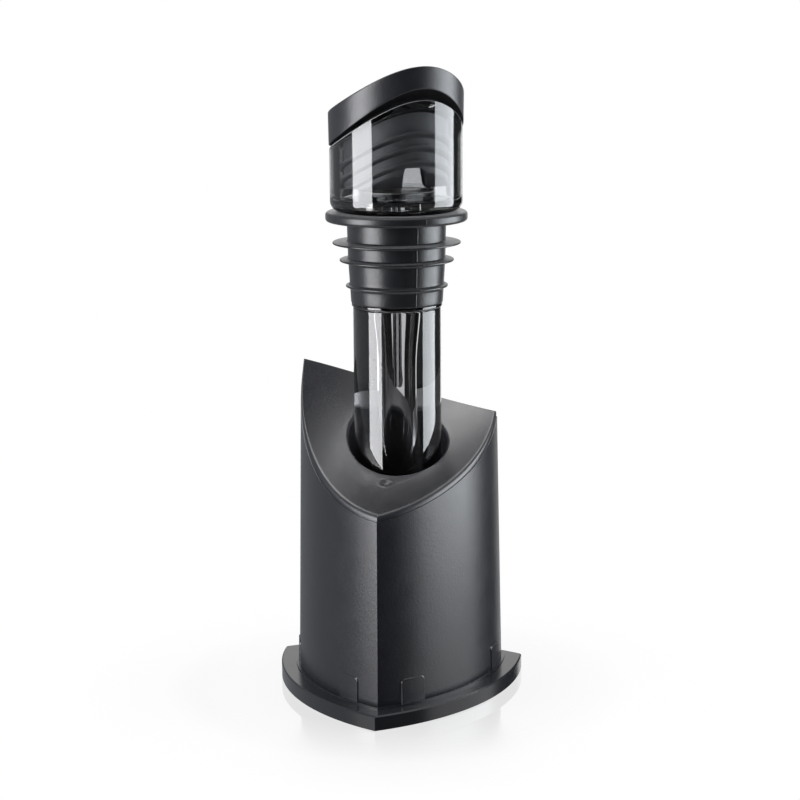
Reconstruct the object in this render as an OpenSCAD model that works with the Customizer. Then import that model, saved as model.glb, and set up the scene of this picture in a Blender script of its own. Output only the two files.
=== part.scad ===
// Wine aerator pourer standing in its bow-sided stand.
// Millimetres, +Z up. The origin lies on the table, under the pourer's axis.
// The stand's front corner points along -Y.

/* [Stand base] */
// Distance from the stand's middle to a corner of the plinth
plinth_corner_r = 26.3; // [25.6:0.1:29]
// Radius of each bowed side of the plinth
plinth_side_r = 44.2; // [42:0.1:50]
// Thickness of the plinth
plinth_h = 2.7; // [2.2:0.1:5]
// Chamfer round the top edge of the plinth
plinth_chamfer = 0.25; // [0.1:0.05:0.6]
// Width of the raised land round the shell's foot
land_w = 0.6; // [0.3:0.1:1.2]
// Height of the raised land
land_h = 0.25; // [0.15:0.05:0.8]
// Thickness of the non-slip pad
pad_t = 0.8; // [0.6:0.1:1.2]
// How far the pad stands out below the plinth
pad_proud = 0.2; // [0.1:0.05:0.4]
// Distance from the plinth's edge to the pad's edge
pad_inset = 3.5; // [2.5:0.1:6]
// Depth of the drip well in the plinth
well_depth = 0.9; // [0.5:0.1:1.2]
// Height of the three seat ribs above the well's floor
seat_rib_h = 1.6; // [1.2:0.1:3]
// Thickness of a seat rib
seat_rib_t = 1.2; // [0.8:0.1:2]
// Height of the centring cup above the plinth
cup_h = 3.8; // [2.5:0.1:6]
// Wall of the centring cup
cup_wall = 1.2; // [0.8:0.1:1.4]

/* [Stand shell] */
// Distance from the stand's middle to a corner of the shell's foot
shell_corner_r = 22.1; // [21.6:0.1:23]
// Radius of each bowed wall at the foot
shell_side_r = 38.2; // [38:0.1:42]
// Height of the tallest corner above the shell's foot
shell_h = 60; // [58:0.5:64]
// Lean of the walls, in degrees
shell_draft = 1.02; // [0.5:0.02:1.5]
// Thickness of the walls
shell_wall = 1.8; // [1.4:0.1:2]
// Thickness of the scooped roof
roof_t = 2; // [1.4:0.1:3]
// Depth of the parting step below the rim
rim_band = 1.1; // [0.6:0.1:2]
// Width of the parting step below the rim
rim_step = 0.15; // [0.1:0.05:0.3]
// Offset of the stand's middle from the pourer's axis, to the right
stand_x = -0.7; // [-1:0.1:1]
// Offset of the stand's middle from the pourer's axis, to the back
stand_y = -2.45; // [-3:0.05:0]
// Radius of the hole and the guide tube
socket_r = 9.1; // [8.6:0.1:9.4]
// Wall of the guide tube
guide_wall = 1.3; // [1:0.1:1.4]
// Gap between the guide tube and the centring cup
guide_gap = 0.3; // [0.2:0.1:1]

/* [Scooped roof] */
// Radius of the scoop across its valley
scoop_r = 44.2; // [42:0.1:50]
// Radius of the scoop along its valley
scoop_sweep_r = 127.8; // [110:0.5:200]
// Direction of the valley, in degrees
scoop_turn = 60; // [50:1:70]
// Rise of the valley towards the back, in degrees
scoop_tilt = 16.7; // [14:0.1:19]
// Middle of the scoop, to the right
scoop_x = 1.8; // [-2:0.1:5]
// Middle of the scoop, to the back
scoop_y = -25; // [-28:0.1:-22]
// Height of the middle of the scoop
scoop_z = 83.1; // [81:0.1:86]

/* [Clips] */
// Distance from a corner of the shell to the middle of a raised tab
tab_from_corner = 7.15; // [6:0.05:9]
// Width of a raised tab
tab_w = 4.9; // [3:0.1:6]
// Height of a raised tab
tab_h = 4.4; // [3.5:0.1:6]
// How far a tab stands out of the wall
tab_proud = 0.22; // [0.1:0.02:0.4]
// Rounding of a tab's top corners
tab_round = 0.7; // [0.3:0.1:1.2]
// Thickness of a snap arm
arm_t = 1.1; // [0.8:0.1:1.2]
// Width of a snap arm
arm_w = 3.6; // [2.5:0.1:4]
// Height of a snap arm above the land
arm_h = 4; // [3.4:0.1:4.3]
// Height of the snap hook
hook_h = 1.2; // [0.8:0.1:1.6]
// How far a hook reaches into its pocket
hook_out = 0.6; // [0.4:0.05:0.8]
// Height of the locating rim above the land
rim_h = 1.6; // [1:0.1:2]

/* [Inlet tube] */
// Outer radius of the inlet tube
tube_r = 8; // [7.8:0.05:8.2]
// Height of the inlet tube's shoulder above the table
tube_top = 71.2; // [70:0.05:73]
// Radius of the bore at the throat
throat_r = 2.3; // [2.1:0.05:2.6]
// Radius of the bore above the throat
upper_bore_r = 2.85; // [2.7:0.05:3.2]
// Radius of the bore below the throat
lower_bore_r = 3.1; // [2.8:0.05:3.3]
// Radius of the bore where the flare begins
mouth_r = 4; // [3.3:0.1:4.3]
// Radius of the flared inlet
inlet_r = 6; // [4.5:0.1:6.5]
// Length of the flare at the inlet
flare_h = 12; // [6:0.5:20]
// Height of the throat's lower end
throat_z = 52.4; // [50:0.1:54]
// Length of the throat
throat_h = 10.2; // [8:0.1:11]
// Length of the taper below the throat
throat_in_h = 9; // [5:0.5:14]
// Radius of the spigot that fits the neck
spigot_r = 4.9; // [4.7:0.05:5.1]
// Length of the spigot
spigot_h = 8; // [6:0.5:9]

/* [Air tube] */
// Outer radius of the air tube
air_r = 0.8; // [0.7:0.05:1]
// Radius of the air passage
air_bore_r = 0.4; // [0.3:0.05:0.5]
// Outer radius of the nozzle on its end
nozzle_r = 1; // [0.9:0.05:1.2]
// Length of the nozzle
nozzle_h = 3.4; // [2.5:0.1:5]
// How far the nozzle reaches down into the throat
nozzle_drop = 6; // [3:0.1:8]

/* [Neck and chamber] */
// Thickness of the gasket under the collar
gasket_t = 0.25; // [0.2:0.05:0.4]
// Thickness of the neck's collar
collar_t = 0.5; // [0.4:0.05:0.8]
// Radius of the neck's collar
collar_r = 8.25; // [8.1:0.05:8.4]
// Outer radius of the neck
neck_r = 6.4; // [6.1:0.05:6.6]
// Outer radius of the chamber
chamber_r = 12; // [11.8:0.1:12.6]
// Wall of the chamber
chamber_wall = 1.8; // [1.4:0.1:2]
// Height of the chamber's underside above the table
chamber_z = 88.6; // [88:0.1:89.5]
// Thickness of the chamber's floor
floor_t = 2.1; // [1.6:0.1:2.5]
// Rounding of the chamber's bottom corner
chamber_round = 1.8; // [1:0.1:2]
// Direction in which the slanted lip is highest, in degrees
pour_turn = -58.4; // [-90:0.1:0]
// Distance behind the axis of the middle of every slanted curve
curve_back = 10; // [8:0.1:12]
// Radius of the curve that cuts the lip
lip_curve_r = 30; // [28:0.1:32]
// Height on the axis of the lip's curve above the chamber's underside
lip_h = 12.65; // [11.5:0.05:13]

/* [Aerator insert] */
// Outer radius of the insert's ring
insert_r = 6.8; // [6.4:0.1:7.4]
// Wall of the insert's ring
insert_wall = 1.1; // [0.8:0.1:1.4]
// Height of the insert's ring
insert_h = 1.5; // [1.2:0.1:1.8]
// Radius of the boss that holds the air tube
boss_r = 1.7; // [1.4:0.1:2]
// Thickness of a spoke
spoke_t = 1; // [0.7:0.1:1.4]
// Number of spokes
spoke_count = 3; // [3:1:6]
// Thickness of the filter screen
screen_t = 0.2; // [0.15:0.05:0.3]
// Radius of a hole in the screen
screen_hole_r = 0.36; // [0.25:0.01:0.4]
// Distance between holes in the screen
screen_pitch = 1.15; // [1.05:0.05:1.5]
// Height of the ring that holds the screen down
clamp_h = 0.6; // [0.4:0.1:0.7]

/* [Bottle sleeve] */
// Radius of the flange
flange_r = 12.85; // [12.5:0.05:14]
// Thickness of the flange
flange_t = 1.8; // [1.4:0.1:2.2]
// Rounding of the flange's edges
flange_round = 0.6; // [0.3:0.1:0.7]
// Radius of the sleeve under the flange
sleeve_top_r = 8.98; // [8.8:0.01:9.2]
// Radius of the sleeve at its lower end
sleeve_end_r = 8.32; // [8.2:0.01:8.6]
// Radii of the three fins, from the top
fin_rs = [11.62, 10.35, 9.26];
// Distances from the flange's underside to the fins' middles
fin_drops = [3.9, 7.05, 11.7];
// Thickness of a fin at its edge
fin_edge_t = 0.3; // [0.2:0.05:0.5]
// Thickness of a fin at its root
fin_root_t = 0.7; // [0.6:0.05:1.2]

/* [Stopper] */
// Radius of the crown at its lowest point
crown_r = 12.05; // [11.8:0.05:12.4]
// Lean of the crown's side, in degrees
crown_draft = 0.8; // [0:0.1:3]
// Radius of the curve that cuts the crown's top
crown_top_curve_r = 32; // [30:0.1:36]
// Radius of the curve that cuts the crown's underside
crown_low_curve_r = 27.9; // [27:0.1:29]
// Height on the axis of the crown's underside above the lip's curve
crown_lift = 0.55; // [0.3:0.05:0.8]
// Thickness of the crown on the axis
crown_t = 5.9; // [5:0.05:7]
// Radius of the core under the crown
core_r = 6; // [5:0.1:7]
// Radius of the plug between its ribs
plug_r = 9.4; // [9:0.1:9.8]
// Distance from the lip's curve down to the plug's slanted end
plug_drop = 10.4; // [9.5:0.1:13]
// Distance from the lip's curve down to the first rib
rib_start = 3.4; // [2.5:0.1:4]
// Distance from one rib to the next
rib_pitch = 2.5; // [2:0.1:3]
// Thickness of a rib
rib_t = 0.9; // [0.6:0.1:1.2]
// Number of ribs
rib_count = 3; // [2:1:3]
// Radius of the plug's soft flange, between the crown and the lip
plug_flange_r = 10.8; // [10.5:0.05:11.9]
// Height of the slot in the plug's end
relief_h = 3.9; // [2:0.1:5]
// Width of the slot
relief_w = 3.3; // [2:0.1:5]
// Distance from the axis to the slot's nearer face
relief_side = 1.3; // [0.5:0.1:3]
// Turn of the slot from the pouring direction, in degrees
relief_turn = 66.4; // [60:0.1:90]

/* [Fits] */
// Gap between a rib of the plug and the chamber's wall
seal_gap = 0.06; // [0.03:0.01:0.1]
// Gap between pieces that are pushed together
push_gap = 0.05; // [0.02:0.01:0.1]
// Gap between the shell and the clips inside it
clip_gap = 0.2; // [0.1:0.05:0.3]
// Gap between the plug's end and the ring below it
rest_gap = 0.1; // [0.05:0.05:0.3]

/* [Hidden] */
$fn = 128;

corner_turns = [-90, 30, 150];
stand_middle = [stand_x, stand_y, 0];

function bow_centre(corner_r, side_r) = (sqrt(4 * side_r * side_r - 3 * corner_r * corner_r) - corner_r) / 2;

// Height of a slanted curve's middle above the point where the curve crosses the axis.
function curve_rise(r) = sqrt(r * r - curve_back * curve_back);

plinth_c = bow_centre(plinth_corner_r, plinth_side_r);
shell_c = bow_centre(shell_corner_r, shell_side_r);
plinth_top = pad_proud + plinth_h;
land_top = plinth_top + land_h;
shell_top = land_top + shell_h;
draft_in = shell_h * tan(shell_draft);
inner_side_r = shell_side_r - shell_wall;
clip_side_r = inner_side_r - clip_gap;
tab_turn = asin(shell_corner_r * sin(60) / shell_side_r) - tab_from_corner / shell_side_r * 180 / PI;
hook_z = land_top + arm_h - hook_h;
well_z = plinth_top - well_depth;
tube_z = well_z + seat_rib_h;
cup_top = plinth_top + cup_h;
guide_z = cup_top + guide_gap;
cup_r = socket_r + cup_wall;

collar_z = tube_top + gasket_t;
sleeve_z = collar_z + collar_t;
chamber_in_r = chamber_r - chamber_wall;
floor_z = chamber_z + floor_t;
neck_bore_r = spigot_r + push_gap;
neck_step_z = tube_top + spigot_h + push_gap;
flange_z = chamber_z - flange_t;
screen_z = floor_z + insert_h;
clamp_z = screen_z + screen_t;
clamp_top = clamp_z + clamp_h;
screen_r = insert_r - insert_wall / 2;
plug_z = clamp_top + rest_gap + push_gap;
throat_top = throat_z + throat_h;
nozzle_z = throat_top - nozzle_drop;
air_top = floor_z + insert_h;
o_ring_t = spigot_r / 5;
o_ring_z = tube_top + spigot_h / 2;
lip_z = chamber_z + lip_h;
crown_low_z = lip_z + crown_lift;
crown_top_z = crown_low_z + crown_t;
crown_z = crown_low_z + curve_rise(crown_low_curve_r) - crown_low_curve_r - rest_gap;
core_z = plug_z + relief_h + rib_t;
reach = 2 * plinth_corner_r;
over = 1;

// A solid whose three sides bow about centres behind the opposite corners.
// Side radius foot_r at the bottom runs to head_r at the top.
module bowed(centre, foot_r, h, head_r) {
    intersection_for(turn = corner_turns)
        rotate(turn)
            translate([centre, 0, 0])
                cylinder(h = h, r1 = foot_r, r2 = head_r);
}

// The stand's shell outline, moved inwards by inset, between two heights.
module shell_block(inset, low, high) {
    foot_r = shell_side_r - inset - (low - land_top) * tan(shell_draft);
    head_r = shell_side_r - inset - (high - land_top) * tan(shell_draft);
    translate(stand_middle + [0, 0, low])
        bowed(shell_c, foot_r, high - low, head_r);
}

// Everything above the scooped roof, lowered by drop: a barrel on a tilted axis.
module above_scoop(drop) {
    r = scoop_r + drop;
    sweep_r = scoop_sweep_r + drop;
    translate([scoop_x, scoop_y, scoop_z])
        rotate([0, 90 - scoop_tilt, scoop_turn])
            rotate_extrude()
                intersection() {
                    translate([r - sweep_r, 0])
                        circle(sweep_r);
                    translate([0, -1.5 * scoop_r])
                        square([1.5 * scoop_r, 3 * scoop_r]);
                }
}

// The six places of the clips, each with X outwards at the foot of its wall.
module at_clips(side_r) {
    for (turn = corner_turns, side = [-1, 1])
        translate(stand_middle)
            rotate(turn + 180)
                translate([-shell_c, 0, 0])
                    rotate(side * tab_turn)
                        translate([side_r, 0, 0])
                            children();
}

// Outline of a raised tab, rounded at its two top corners.
module tab_outline() {
    translate([-tab_w / 2, 0])
        square([tab_w, tab_h - tab_round]);
    translate([tab_round - tab_w / 2, 0])
        square([tab_w - 2 * tab_round, tab_h]);
    for (side = [-1, 1])
        translate([side * (tab_w / 2 - tab_round), tab_h - tab_round])
            circle(tab_round);
}

module stand_base() {
    color("#35373b")
        difference() {
            union() {
                translate(stand_middle + [0, 0, pad_proud])
                    intersection() {
                        bowed(plinth_c, plinth_side_r, plinth_h, plinth_side_r);
                        bowed(plinth_c, plinth_side_r + plinth_h - plinth_chamfer, plinth_h,
                            plinth_side_r - plinth_chamfer);
                    }
                translate(stand_middle + [0, 0, well_z])
                    bowed(shell_c, shell_side_r + land_w, land_top - well_z, shell_side_r + land_w);
                rim_and_arms();
                snap_hooks();
                translate([0, 0, well_z - well_depth / 2])
                    cylinder(r = cup_r, h = cup_top - well_z + well_depth / 2);
            }
            translate([0, 0, well_z])
                cylinder(r = socket_r, h = cup_h + well_depth + over);
            translate(stand_middle - [0, 0, over])
                bowed(plinth_c, plinth_side_r - pad_inset, pad_t + over, plinth_side_r - pad_inset);
        }
    color("#35373b")
        seat_ribs();
}

// A low wall inside the shell that keeps it in place, with six taller spring arms.
module rim_and_arms() {
    wall_z = plinth_top - well_depth / 2;
    tall = land_top + arm_h - wall_z;
    intersection() {
        difference() {
            translate(stand_middle + [0, 0, wall_z])
                bowed(shell_c, clip_side_r, tall, clip_side_r - tall * tan(shell_draft));
            translate(stand_middle + [0, 0, wall_z - over])
                bowed(shell_c, clip_side_r - arm_t, tall + 2 * over, clip_side_r - arm_t);
        }
        union() {
            translate([0, 0, wall_z - over])
                cylinder(r = plinth_corner_r, h = land_top + rim_h - wall_z + over);
            at_clips(clip_side_r)
                translate([-3 * arm_t, -arm_w / 2, wall_z - over])
                    cube([5 * arm_t, arm_w, tall + 2 * over]);
        }
    }
}

// The hooks on the spring arms: flat below, sloped above, for the pockets in the shell.
module snap_hooks() {
    at_clips(clip_side_r)
        translate([-arm_t / 2, 0, hook_z])
            rotate([90, 0, 0])
                linear_extrude(arm_w, center = true)
                    polygon([[0, 0], [arm_t / 2 + hook_out, 0], [arm_t / 2 + hook_out, hook_h / 4],
                        [0, hook_h - push_gap]]);
}

// Three ribs that hold the tube's end above the drips.
module seat_ribs() {
    intersection() {
        translate([0, 0, well_z - well_depth / 4])
            cylinder(r = socket_r + cup_wall / 2, h = seat_rib_h + well_depth / 4);
        for (turn = corner_turns)
            rotate(turn)
                translate([socket_r / 2, -seat_rib_t / 2, 0])
                    cube([cup_r, seat_rib_t, cup_top]);
    }
}

module foot_pad() {
    color("#1c1c1e")
        translate(stand_middle)
            bowed(plinth_c, plinth_side_r - pad_inset - push_gap, pad_t, plinth_side_r - pad_inset - push_gap);
}

module stand_shell() {
    color("#46484c")
        difference() {
            union() {
                difference() {
                    union() {
                        difference() {
                            shell_block(0, land_top, shell_top);
                            above_scoop(rim_band);
                        }
                        shell_block(rim_step, land_top + shell_h / 2, shell_top);
                        raised_tabs();
                    }
                    difference() {
                        shell_block(shell_wall, land_top - over, shell_top);
                        above_scoop(roof_t);
                    }
                }
                translate([0, 0, guide_z])
                    cylinder(r = socket_r + guide_wall, h = shell_top - guide_z - shell_wall);
            }
            above_scoop(0);
            translate([0, 0, land_top])
                cylinder(r = socket_r, h = shell_h);
            hook_pockets();
        }
}

module raised_tabs() {
    intersection() {
        shell_block(-tab_proud, land_top, land_top + 2 * tab_h);
        at_clips(shell_side_r)
            translate([-shell_wall / 2, 0, land_top])
                rotate([90, 0, 90])
                    linear_extrude(shell_wall)
                        tab_outline();
    }
}

module hook_pockets() {
    pocket_in = hook_out + 2 * clip_gap;
    at_clips(inner_side_r)
        translate([pocket_in - arm_t, -arm_w / 2 - clip_gap, hook_z - clip_gap])
            cube([arm_t, arm_w + 2 * clip_gap, hook_h + 2 * clip_gap]);
}

module inlet_tube() {
    flare_z = tube_z + flare_h;
    taper_z = throat_z - throat_in_h;
    spigot_z = tube_top + spigot_h;
    groove_r = spigot_r - o_ring_t;
    round_r = tube_r / 12;
    color("#a9b0b6", 0.45)
        rotate_extrude()
            difference() {
                union() {
                    translate([0, tube_z + round_r])
                        square([tube_r, tube_top - tube_z - round_r]);
                    translate([0, tube_z])
                        square([tube_r - round_r, 2 * round_r]);
                    translate([tube_r - round_r, tube_z + round_r])
                        circle(round_r);
                    translate([0, tube_top - over])
                        square([spigot_r, spigot_h + over]);
                }
                polygon([[0, tube_z - over], [inlet_r, tube_z - over], [inlet_r, tube_z], [mouth_r, flare_z],
                    [lower_bore_r, taper_z], [throat_r, throat_z], [throat_r, throat_top],
                    [upper_bore_r, tube_top], [upper_bore_r, spigot_z + over], [0, spigot_z + over]]);
                translate([groove_r, o_ring_z - o_ring_t / 2])
                    square([spigot_r, o_ring_t]);
            }
}

// The thin tube that lets air into the throat, ending in a rounded nozzle.
module air_tube() {
    tip_r = nozzle_r;
    color("#c9ced2", 0.6)
        rotate_extrude()
            difference() {
                union() {
                    translate([0, nozzle_z + nozzle_h])
                        square([air_r, air_top - nozzle_z - nozzle_h]);
                    translate([0, nozzle_z + tip_r])
                        polygon([[0, 0], [tip_r, 0], [air_r, nozzle_h - tip_r], [0, nozzle_h - tip_r]]);
                    intersection() {
                        translate([0, nozzle_z + tip_r])
                            circle(tip_r);
                        translate([0, nozzle_z])
                            square([tip_r, tip_r]);
                    }
                }
                translate([-over, nozzle_z - over])
                    square([over + air_bore_r, air_top - nozzle_z + 2 * over]);
            }
}

module tube_gasket() {
    color("#111214")
        translate([0, 0, tube_top])
            difference() {
                cylinder(r = tube_r, h = gasket_t);
                translate([0, 0, -over])
                    cylinder(r = spigot_r + push_gap, h = gasket_t + 2 * over);
            }
}

module neck_o_ring() {
    color("#111214")
        translate([0, 0, o_ring_z])
            rotate_extrude()
                translate([spigot_r - o_ring_t / 2, 0])
                    circle(o_ring_t / 2);
}

// Everything above a slanted curve: a level cylinder across the pouring direction, which crosses the axis at height.
module above_curve(r, height) {
    rotate(pour_turn)
        translate([-curve_back, 0, height + curve_rise(r)])
            rotate([90, 0, 0])
                cylinder(r = r, h = reach, center = true);
}

module above_lip(drop) {
    above_curve(lip_curve_r, lip_z - drop);
}

module above_crown_underside() {
    above_curve(crown_low_curve_r, crown_low_z);
}

module pour_chamber() {
    tall = lip_curve_r;
    in_round = chamber_round / 2;
    color("#8f979e", 0.35)
        difference() {
            rotate_extrude()
                difference() {
                    union() {
                        translate([0, collar_z])
                            square([collar_r, collar_t]);
                        translate([0, collar_z])
                            square([neck_r, chamber_z + floor_t / 2 - collar_z]);
                        translate([0, chamber_z + chamber_round])
                            square([chamber_r, tall]);
                        translate([0, chamber_z])
                            square([chamber_r - chamber_round, tall]);
                        translate([chamber_r - chamber_round, chamber_z + chamber_round])
                            circle(chamber_round);
                    }
                    translate([0, floor_z + in_round])
                        square([chamber_in_r, 2 * tall]);
                    translate([0, floor_z])
                        square([chamber_in_r - in_round, tall]);
                    translate([chamber_in_r - in_round, floor_z + in_round])
                        circle(in_round);
                    translate([0, collar_z - over])
                        square([neck_bore_r, neck_step_z - collar_z + over]);
                    square([upper_bore_r, 2 * floor_z]);
                }
            above_lip(0);
        }
}

// Ring on the chamber's floor whose spokes carry the air tube.
module aerator_insert() {
    color("#b4bbc0", 0.6)
        translate([0, 0, floor_z])
            difference() {
                union() {
                    difference() {
                        cylinder(r = insert_r, h = insert_h);
                        translate([0, 0, -over])
                            cylinder(r = insert_r - insert_wall, h = insert_h + 2 * over);
                    }
                    for (spoke = [0 : spoke_count - 1])
                        rotate(spoke * 360 / spoke_count)
                            translate([boss_r / 2, -spoke_t / 2, 0])
                                cube([insert_r - insert_wall / 2 - boss_r / 2, spoke_t, insert_h * 0.6]);
                    cylinder(r = boss_r, h = insert_h * 0.9);
                }
                translate([0, 0, -over])
                    cylinder(r = air_r + push_gap / 2, h = insert_h + 2 * over);
            }
}

// Punched steel disc: rows of holes on a triangular grid.
module filter_screen() {
    rows = floor((screen_r - insert_wall) / screen_pitch);
    row_step = screen_pitch * sin(60);
    color("#b8b8b4")
        translate([0, 0, screen_z])
            difference() {
                cylinder(r = screen_r, h = screen_t);
                for (row = [-rows : rows], col = [-rows : rows]) {
                    x = (col + row / 2) * screen_pitch;
                    y = row * row_step;
                    if (norm([x, y]) < screen_r - insert_wall)
                        translate([x, y, -over])
                            cylinder(r = screen_hole_r, h = screen_t + 2 * over, $fn = 24);
                }
            }
}

module filter_clamp() {
    color("#b4bbc0", 0.6)
        translate([0, 0, clamp_z])
            difference() {
                cylinder(r = insert_r, h = clamp_h);
                translate([0, 0, -over])
                    cylinder(r = insert_r - insert_wall, h = clamp_h + 2 * over);
            }
}

// Rubber sleeve that seals a bottle's neck: a flange, a tapered core and three thin fins.
module bottle_sleeve() {
    fin_zs = [for (drop = fin_drops) flange_z - drop];
    core_h = flange_z - sleeve_z;
    edge = flange_round / 3;
    color("#2c2e31")
        rotate_extrude()
            difference() {
                union() {
                    translate([0, flange_z])
                        square([flange_r - flange_round, flange_t]);
                    translate([0, flange_z + flange_round])
                        square([flange_r, flange_t - 2 * flange_round]);
                    for (z = [flange_round, flange_t - flange_round])
                        translate([flange_r - flange_round, flange_z + z])
                            circle(flange_round);
                    polygon([[0, sleeve_z], [sleeve_end_r - edge, sleeve_z], [sleeve_end_r, sleeve_z + edge],
                        [sleeve_top_r - (sleeve_top_r - sleeve_end_r) / 4, sleeve_z + core_h * 0.55],
                        [sleeve_top_r, flange_z], [0, flange_z]]);
                    for (i = [0 : len(fin_zs) - 1])
                        translate([0, fin_zs[i]])
                            polygon([[0, -fin_root_t / 2], [sleeve_end_r, -fin_root_t / 2],
                                [fin_rs[i], -fin_edge_t / 2], [fin_rs[i], fin_edge_t / 2],
                                [sleeve_end_r, fin_root_t / 2], [0, fin_root_t / 2]]);
                }
                translate([0, sleeve_z - over])
                    square([neck_r + push_gap, core_h + flange_t + 2 * over]);
            }
}

// Crown with a scooped top, a curved underside and a core for the plug.
module stopper_crown() {
    tall = crown_top_curve_r;
    color("#46484c")
        difference() {
            union() {
                intersection() {
                    translate([0, 0, crown_z])
                        cylinder(r1 = crown_r, r2 = crown_r + tall * tan(crown_draft), h = tall);
                    above_crown_underside();
                }
                translate([0, 0, core_z])
                    cylinder(r = core_r, h = tall);
            }
            above_curve(crown_top_curve_r, crown_top_z);
        }
}

// Soft plug under the crown with slanted sealing ribs, a thin flange over the lip and a slot in its end.
module stopper_plug() {
    tall = lip_curve_r;
    color("#1f2022")
        difference() {
            union() {
                intersection() {
                    translate([0, 0, plug_z])
                        cylinder(r = plug_r, h = tall);
                    above_lip(plug_drop);
                }
                for (rib = [0 : rib_count - 1])
                    slanted_rib(rib_start + rib * rib_pitch);
                intersection() {
                    translate([0, 0, plug_z])
                        cylinder(r = plug_flange_r, h = tall);
                    above_lip(-rest_gap);
                }
            }
            above_crown_underside();
            translate([0, 0, core_z])
                cylinder(r = core_r, h = tall);
            rotate(pour_turn + relief_turn)
                translate([relief_side, -chamber_r, plug_z - over])
                    cube([relief_w, 2 * chamber_r, relief_h + over]);
        }
}

module slanted_rib(drop) {
    difference() {
        intersection() {
            translate([0, 0, plug_z])
                cylinder(r = chamber_in_r - seal_gap, h = lip_curve_r);
            above_lip(drop + rib_t);
        }
        above_lip(drop);
    }
}

stand_base();
foot_pad();
stand_shell();
inlet_tube();
air_tube();
tube_gasket();
neck_o_ring();
pour_chamber();
aerator_insert();
filter_screen();
filter_clamp();
bottle_sleeve();
stopper_crown();
stopper_plug();
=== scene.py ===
"""A wine aerator pourer standing in its bow-sided stand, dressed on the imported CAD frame.

Surfaces are numpy grids in millimetres, turned into metres as they become meshes. The CAD's axes hold:
the origin lies on the table under the pourer's axis, +Z is up and the stand's front corner points along -Y.
"""

import math

import bpy
import numpy as np
from bpy.props import FloatProperty, FloatVectorProperty, PointerProperty
from mathutils import Matrix, Vector


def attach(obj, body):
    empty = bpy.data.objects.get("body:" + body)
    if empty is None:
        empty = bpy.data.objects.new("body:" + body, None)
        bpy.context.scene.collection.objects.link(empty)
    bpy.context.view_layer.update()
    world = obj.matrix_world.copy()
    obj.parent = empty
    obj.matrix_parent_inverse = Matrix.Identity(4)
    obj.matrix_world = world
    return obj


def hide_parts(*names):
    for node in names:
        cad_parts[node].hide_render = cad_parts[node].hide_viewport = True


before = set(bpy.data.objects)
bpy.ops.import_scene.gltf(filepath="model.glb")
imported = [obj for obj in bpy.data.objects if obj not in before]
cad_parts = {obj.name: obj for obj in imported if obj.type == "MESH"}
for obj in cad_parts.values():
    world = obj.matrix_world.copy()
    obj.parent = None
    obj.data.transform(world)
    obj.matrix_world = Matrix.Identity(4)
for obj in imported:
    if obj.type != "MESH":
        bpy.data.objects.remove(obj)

bl_info = {
    "name": "Aerator pourer with stand",
    "version": (1, 0, 0),
    "blender": (4, 5, 0),
    "location": "View3D > Sidebar > Pourer",
    "description": "Builds the looks of a wine aerator pourer and its stand",
    "category": "Object",
}

MM = 0.001
# Directions of the stand's three corners, and a sixth of a turn
CORNERS = np.radians([-90.0, 30.0, 150.0])
SIXTH = math.radians(60)
# Points of the stand's outline on each side, in each corner and in all
SIDE_POINTS, CORNER_POINTS = 56, 9
OUTLINE_POINTS = 3 * (SIDE_POINTS + CORNER_POINTS)
# What is smaller than this counts as nothing
TINY = 1e-9
# Rounds for a height that depends on itself, and Newton's steps for the scoop
ROUNDS, NEWTON_STEPS = 8, 12
# Edges that turn by more degrees stay sharp: on most pieces, the stand and the gasket
SHARP, SHARP_STAND, SHARP_GASKET = 50, 32, 38
# Where the camera stands, in metres
CAMERA_PLACE = (0.05157, -0.39705, 0.13092)


# Settings


def length(name, description, value):
    """A length in metres, given here in millimetres."""
    return FloatProperty(name=name, description=description, default=value * MM, unit="LENGTH", precision=5)


def colour(name, description, value):
    """A colour of three parts from 0 to 1."""
    return FloatVectorProperty(
        name=name, description=description, default=value, subtype="COLOR", size=3, min=0, max=1
    )


def turn(name, description, degrees):
    """An angle in radians, given here in degrees."""
    return FloatProperty(name=name, description=description, default=math.radians(degrees), subtype="ANGLE")


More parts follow.
